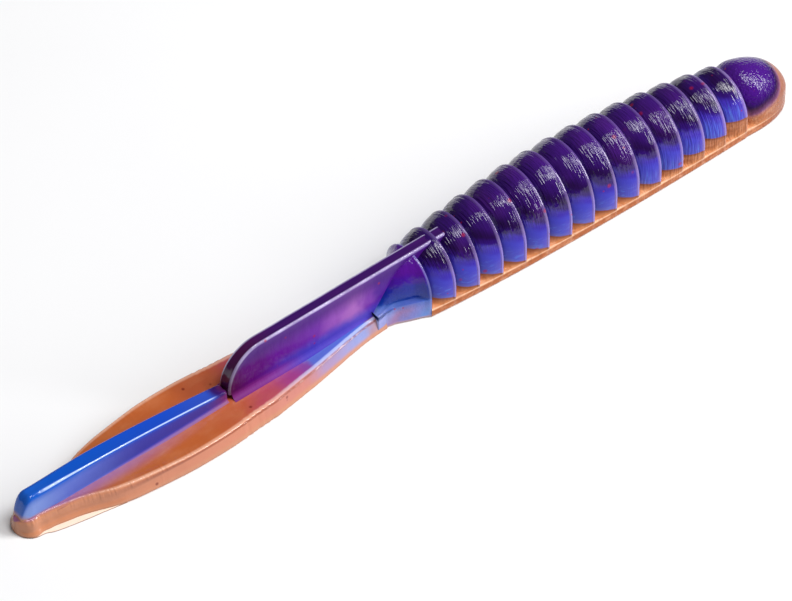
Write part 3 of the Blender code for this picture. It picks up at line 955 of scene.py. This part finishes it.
def collar_plastic():
    """Collar: violet saddle, deep blue shoulder, and a lavender wall under the ledge."""
    g = Graph("collar_plastic")
    place, x, _, z = g.rest()
    phase = g.attribute("phase")
    cloud = g.swing(place, 0.6, 1.2)
    top = g.ramp(g.add(z, cloud), [
        (2.5, (0.030, 0.10, 0.46)),
        (3.3, (0.003, 0.028, 0.30)),
        (4.4, (0.005, 0.012, 0.27)),
        (5.3, (0.050, 0.005, 0.28)),
        (6.3, (0.085, 0.005, 0.26)),
        (8.0, (0.050, 0.006, 0.17)),
    ], 2.5, 8.0)
    wall = g.ramp(g.add(x, g.times(z, -0.9), g.swing(place, 0.7, 1.6)), [
        (-7.0, (0.34, 0.36, 0.70)),
        (-5.2, (0.25, 0.27, 0.60)),
        (-3.4, (0.32, 0.18, 0.40)),
        (-1.8, (0.20, 0.21, 0.58)),
        (0.2, (0.14, 0.27, 0.68)),
        (1.5, (0.30, 0.20, 0.38)),
    ], -7.0, 1.5)
    wall = g.mix(g.times(g.band(z, 1.6, 2.8), 0.7), wall, (0.035, 0.14, 0.55))
    wall = g.mix(g.times(g.band(z, 0.55, 0.1), 0.8), wall, (0.60, 0.34, 0.24))
    colour = g.mix(g.band(z, 2.6, 3.05), wall, top)
    lip = g.band(phase, 0.955, 0.975)
    colour = g.mix(g.times(lip, 0.45), colour, (0.26, 0.26, 0.55))
    colour = g.mix(g.times(g.spots(place, 1.1, 0.2, 0.2), 0.7), colour, RED)
    g.bump(g.add(g.noise(place, 2.0, 2.0), g.times(g.noise(place, 6.0, 1.0), 0.3)), 0.06 * MM)
    rough = g.add(0.12, g.times(g.noise(place, 2.2), 0.08))
    return g.finish(colour, rough, sheen=0.03, sheen_tint=(0.8, 0.75, 1.0))


def blade_plastic():
    """Blade: blue haze at the neck, pink past it, orange-brown to the tip, paler at the rim, with a
    painted highlight and a painted shade line along the rim's rounding.
    """
    g = Graph("blade_plastic_orange")
    place, x, y, z = g.rest()
    rim = g.attribute("rim")
    along = g.add(x, g.swing(place, 0.4, 3.0))
    across = g.math("ABSOLUTE", y)
    top = g.ramp(along, [
        (-51.0, (0.42, 0.12, 0.040)),
        (-40.0, (0.44, 0.115, 0.032)),
        (-30.0, (0.48, 0.110, 0.028)),
        (-24.0, (0.47, 0.100, 0.040)),
        (-20.0, (0.44, 0.070, 0.100)),
        (-16.6, (0.34, 0.050, 0.210)),
        (-14.6, (0.24, 0.062, 0.300)),
        (-13.4, (0.10, 0.150, 0.540)),
        (-6.5, (0.085, 0.160, 0.600)),
        (-5.0, (0.30, 0.11, 0.16)),
    ], -51.0, -5.0)
    cloudy = g.band(g.noise(g.stretch(place, (0.35, 0.6, 0.6)), 1.0, 3.0), 0.40, 0.75)
    top = g.mix(g.times(cloudy, g.band(x, -16.0, -26.0), 0.35), top, (0.56, 0.20, 0.085))
    haze = g.times(g.band(across, 2.9, 1.3), g.band(x, -26.0, -40.0))
    top = g.mix(g.times(haze, 0.7), top, (0.30, 0.14, 0.34))
    side = g.ramp(along, [
        (-51.0, (0.56, 0.23, 0.12)),
        (-24.0, (0.60, 0.22, 0.13)),
        (-16.0, (0.56, 0.20, 0.16)),
        (-12.0, (0.36, 0.24, 0.42)),
        (-7.0, (0.26, 0.30, 0.60)),
        (-5.0, (0.40, 0.24, 0.30)),
    ], -51.0, -5.0)
    foot = g.times(g.band(rim, 0.42, 0.22), 0.95)
    side = g.mix(foot, side, (0.58, 0.25, 0.14))
    colour = g.mix(g.band(rim, 0.86, 1.02), side, top)
    # Painted shade: a dark line on the lower part of the rim's rounding, beside the painted
    # highlight.
    line = g.times(g.band(rim, 0.70, 0.80), g.band(rim, 0.90, 0.82))
    colour = g.mix(g.times(line, g.band(x, -44.0, -34.0), 0.6), colour, (0.22, 0.05, 0.03))
    # Painted highlight: a pale line along the rim's rounded top edge, blue near the neck and peach
    # further back.
    edge = g.times(g.band(rim, 0.86, 0.93), g.band(rim, 1.08, 1.0), g.band(x, -46.0, -36.0))
    rim_highlight_tint = g.mix(g.band(x, -22.0, -12.0), (0.90, 0.52, 0.36), (0.55, 0.65, 0.95))
    colour = g.mix(g.times(edge, 0.6), colour, rim_highlight_tint)
    under = g.band(z, 0.35, 0.05)
    colour = g.mix(g.times(under, 0.4), colour, (0.42, 0.18, 0.09))
    flakes = g.spots(place, 0.75, 0.20, 0.10)
    colour = g.mix(g.times(flakes, 0.7), colour, (0.14, 0.008, 0.006))
    ripple = g.noise(g.stretch(place, (3.2, 0.4, 0.4)), 1.0, 1.0)
    near_rim = g.times(g.band(rim, 0.70, 0.85), g.band(rim, 1.2, 1.02))
    reeded = g.times(ripple, g.band(x, -26.0, -32.0), near_rim)
    g.bump(g.add(reeded, g.times(g.noise(place, 1.2, 2.0), 0.4)), 0.09 * MM)
    rough = g.add(0.09, g.times(g.noise(place, 1.8), 0.08))
    return g.finish(colour, rough, sheen=0.03, sheen_tint=(1.0, 0.85, 0.75))


def film_plastic():
    """Flash: a film so thin that it looks pale, with a brown cut edge."""
    g = Graph("flash_plastic")
    place = g.rest()[0]
    rim = g.attribute("rim")
    cloud = g.noise(place, 1.5, 2.0)
    body = g.mix(cloud, (0.92, 0.72, 0.56), (0.95, 0.82, 0.70))
    colour = g.mix(g.band(rim, 0.1, 0.9), body, (0.36, 0.17, 0.10))
    return g.finish(colour, g.add(0.2, g.times(cloud, 0.1)))


def fin_plastic():
    """Fin: dark flat top between painted highlights on its edges, lavender and magenta sides, blue at
    the foot.
    """
    g = Graph("fin_plastic_purple")
    place, x, y, z = g.rest()
    edge = g.attribute("edge")
    along = g.add(x, g.swing(place, 0.5, 2.5))
    side = g.ramp(along, [
        (-23.5, (0.070, 0.002, 0.075)),
        (-20.5, (0.090, 0.002, 0.16)),
        (-16.5, (0.110, 0.003, 0.26)),
        (-12.5, (0.135, 0.010, 0.32)),
        (-9.5, (0.25, 0.060, 0.40)),
        (-7.0, (0.34, 0.110, 0.44)),
        (-5.0, (0.17, 0.030, 0.34)),
        (-3.2, (0.070, 0.003, 0.26)),
        (1.0, (0.060, 0.004, 0.23)),
        (6.0, (0.040, 0.004, 0.15)),
    ], -23.5, 6.0)
    foot = g.times(g.band(g.add(z, g.swing(place, 0.8, 0.8)), 4.2, 2.6), g.band(x, -21.0, -14.0))
    side = g.mix(g.times(foot, 0.9), side, (0.050, 0.042, 0.43))
    pink = g.times(g.band(z, 3.0, 2.2), g.band(x, -13.0, -18.0))
    side = g.mix(g.times(pink, 0.6), side, (0.24, 0.03, 0.22))
    side = g.mix(g.times(g.band(z, 4.6, 7.0), 0.85), side, (0.055, 0.006, 0.17))
    top = g.mix(g.noise(g.stretch(place, (0.4, 2.0, 2.0)), 1.0, 2.0),
                (0.022, 0.004, 0.080), (0.055, 0.006, 0.12))
    top = g.mix(g.times(g.band(x, -16.0, -22.0), 0.8), top, (0.065, 0.004, 0.045))
    colour = g.mix(g.band(edge, 0.66, 0.76), side, top)
    # Painted highlight: pale lines along the rounded top edges, a little stronger on the far edge and
    # broken by noise.
    line = g.times(g.band(edge, 0.54, 0.62), g.band(edge, 0.76, 0.70))
    far = g.band(y, -0.2, 0.3)
    thick = g.band(g.noise(g.stretch(place, (0.22, 0.0, 0.0)), 1.0, 2.0), 0.42, 0.60)
    line = g.times(line, g.add(0.35, g.times(far, 0.15), g.times(thick, 0.30)))
    colour = g.mix(line, colour, (0.62, 0.54, 0.82))
    colour = g.mix(g.times(g.spots(place, 0.8, 0.2, 0.12), 0.7), colour, RED)
    g.bump(g.noise(g.stretch(place, (1.4, 0.5, 0.5)), 1.0, 2.0), 0.05 * MM)
    rough = g.add(0.09, g.times(g.noise(place, 2.0), 0.07), g.times(g.band(edge, 0.15, 0.0), 0.4))
    gloss = g.add(0.14, g.times(g.band(edge, 0.44, 0.56), 0.36))
    return g.finish(colour, rough, gloss, sheen=0.02, sheen_tint=(0.95, 0.8, 1.0))


def rib_plastic():
    """Rib: bright blue back with a painted highlight along its near edge, blue-violet flanks, paler
    and pinker at its foot and tip.
    """
    g = Graph("rib_plastic_blue")
    place, x, y, z = g.rest()
    round_up = g.attribute("round")
    along = g.add(x, g.swing(place, 0.5, 2.0))
    back = g.ramp(along, [
        (-51.0, (0.010, 0.10, 0.50)),
        (-44.0, (0.003, 0.080, 0.50)),
        (-32.0, (0.008, 0.062, 0.50)),
        (-26.0, (0.025, 0.070, 0.46)),
        (-24.6, (0.030, 0.006, 0.12)),
        (-23.4, (0.16, 0.020, 0.10)),
    ], -51.0, -23.4)
    flank = g.ramp(along, [
        (-51.0, (0.20, 0.30, 0.66)),
        (-44.0, (0.10, 0.15, 0.56)),
        (-34.0, (0.048, 0.055, 0.40)),
        (-27.0, (0.060, 0.050, 0.36)),
        (-23.4, (0.20, 0.030, 0.16)),
    ], -51.0, -23.4)
    colour = g.mix(g.band(round_up, 0.35, 0.62), flank, back)
    # Painted highlight: a pale blue line along the near edge of the back.
    line = g.times(g.band(round_up, 0.62, 0.67), g.band(round_up, 0.76, 0.70))
    line = g.times(line, g.band(x, -24.9, -26.3), g.band(x, -48.6, -47.0), g.band(y, 0.2, -0.2))
    colour = g.mix(g.times(line, 0.75), colour, (0.62, 0.76, 1.0))
    foot = g.band(round_up, 0.0, -1.0)
    foot_tint = g.mix(g.band(x, -43.0, -46.5), (0.34, 0.13, 0.24), (0.52, 0.18, 0.08))
    colour = g.mix(g.times(foot, 0.9), colour, foot_tint)
    sunk = g.times(g.band(z, 2.5, 1.9), g.band(x, -46.0, -49.5))
    colour = g.mix(sunk, colour, (0.52, 0.18, 0.08))
    tip = g.band(x, -49.6, -50.6)
    colour = g.mix(g.times(tip, g.band(z, 3.0, 2.0)), colour, (0.56, 0.24, 0.12))
    g.bump(g.noise(g.stretch(place, (1.0, 0.6, 0.6)), 1.0, 2.0), 0.04 * MM)
    rough = g.add(0.09, g.times(g.noise(place, 2.0), 0.06), g.times(foot, 0.4))
    gloss = g.add(0.16, g.times(g.band(round_up, 0.4, 0.6), 0.30))
    return g.finish(colour, rough, gloss, sheen=0.02, sheen_tint=(0.8, 0.85, 1.0))


# ---------------------------------------------------------------- floor, light, camera

# (place, long axis, length, width, power)
TOP_LIGHT = ((0.05, -0.15, 0.68), (0.0, 1.0, 0.15), 0.36, 0.22, 2.6)
EDGE_LIGHT = ((0.26, -0.24, 0.57), (0.0, 1.0, 0.3), 0.22, 0.09, 1.3)
FRONT_LIGHT = ((0.40, -0.33, 0.27), (0.0, 0.65, 0.76), 0.42, 0.11, 2.6)
CAMERA_AZIMUTH = -38.79
CAMERA_ELEVATION = 48.0
CAMERA_DISTANCE = 0.7913
CAMERA_TARGET = Vector((-1.66 * MM, -1.15 * MM, 2.3 * MM))
CAMERA_LENS = 342.0
FLOOR_REACH = 2.0
FLOOR_Z = -0.02 * MM


def add_floor():
    signs = [(-1, -1), (1, -1), (1, 1), (-1, 1)]
    corners = [(sx * FLOOR_REACH, sy * FLOOR_REACH, FLOOR_Z) for sx, sy in signs]
    mesh = bpy.data.meshes.new("floor")
    mesh.from_pydata(corners, [], [(0, 1, 2, 3)])
    floor = bpy.data.objects.new("floor", mesh)
    bpy.context.scene.collection.objects.link(floor)
    g = Graph("floor_white")
    place = g.tree.nodes.new("ShaderNodeTexCoord").outputs["Object"]
    g.join(g.mix(g.noise(place, 60.0), (0.90, 0.90, 0.90), (0.92, 0.92, 0.92)),
           g.shader.inputs["Base Color"])
    g.shader.inputs["Roughness"].default_value = 0.9
    g.shader.inputs["Specular IOR Level"].default_value = 0.0
    floor.data.materials.append(g.material)


def add_softbox(name, place, long_axis, length, width, power):
    """A rectangular light that faces the worm's middle."""
    light = bpy.data.lights.new(name, "AREA")
    light.shape = "RECTANGLE"
    light.size, light.size_y = width, length
    light.energy = power
    back = Vector(place).normalized()
    across = Vector(long_axis).cross(back).normalized()
    turn = Matrix((across, back.cross(across), back)).transposed()
    lamp = bpy.data.objects.new(name, light)
    lamp.matrix_world = Matrix.Translation(place) @ turn.to_4x4()
    bpy.context.scene.collection.objects.link(lamp)


def add_world():
    """White to the camera, so the floor has no dark horizon; dim as a light."""
    world = bpy.data.worlds.new("studio")
    world.use_nodes = True
    tree = world.node_tree
    background = tree.nodes["Background"]
    seen = tree.nodes.new("ShaderNodeLightPath")
    mix = tree.nodes.new("ShaderNodeMix")
    mix.data_type = "RGBA"
    mix.inputs[MIX_A].default_value = (0.10, 0.10, 0.11, 1.0)
    mix.inputs[MIX_B].default_value = (0.97, 0.97, 0.97, 1.0)
    tree.links.new(seen.outputs["Is Camera Ray"], mix.inputs["Factor"])
    tree.links.new(mix.outputs[MIX_RESULT], background.inputs["Color"])
    bpy.context.scene.world = world


def add_camera():
    azimuth = radians(CAMERA_AZIMUTH)
    elevation = radians(CAMERA_ELEVATION)
    back = Vector((sin(azimuth) * cos(elevation), -cos(azimuth) * cos(elevation), sin(elevation)))
    data = bpy.data.cameras.new("camera")
    data.lens = CAMERA_LENS
    data.sensor_width = 36.0
    data.clip_start = 0.01
    camera = bpy.data.objects.new("camera", data)
    camera.location = CAMERA_TARGET + back * CAMERA_DISTANCE
    camera.rotation_euler = (-back).to_track_quat("-Z", "Y").to_euler()
    bpy.context.scene.collection.objects.link(camera)
    bpy.context.scene.camera = camera


# ---------------------------------------------------------------- build

BODY = body_plastic("back_plastic_purple")
BELLY = body_plastic("belly_plastic_orange")
COLLAR = collar_plastic()
make_rings(BODY, BELLY)
make_head(BODY, BELLY)
make_collar(COLLAR, COLLAR)
make_blade(blade_plastic())
make_fin(fin_plastic())
make_rib(rib_plastic())
make_film(film_plastic())

add_floor()
add_world()
add_softbox("top_softbox", *TOP_LIGHT)
add_softbox("edge_softbox", *EDGE_LIGHT)
add_softbox("front_softbox", *FRONT_LIGHT)
add_camera()
bpy.context.scene.view_settings.view_transform = "Standard"
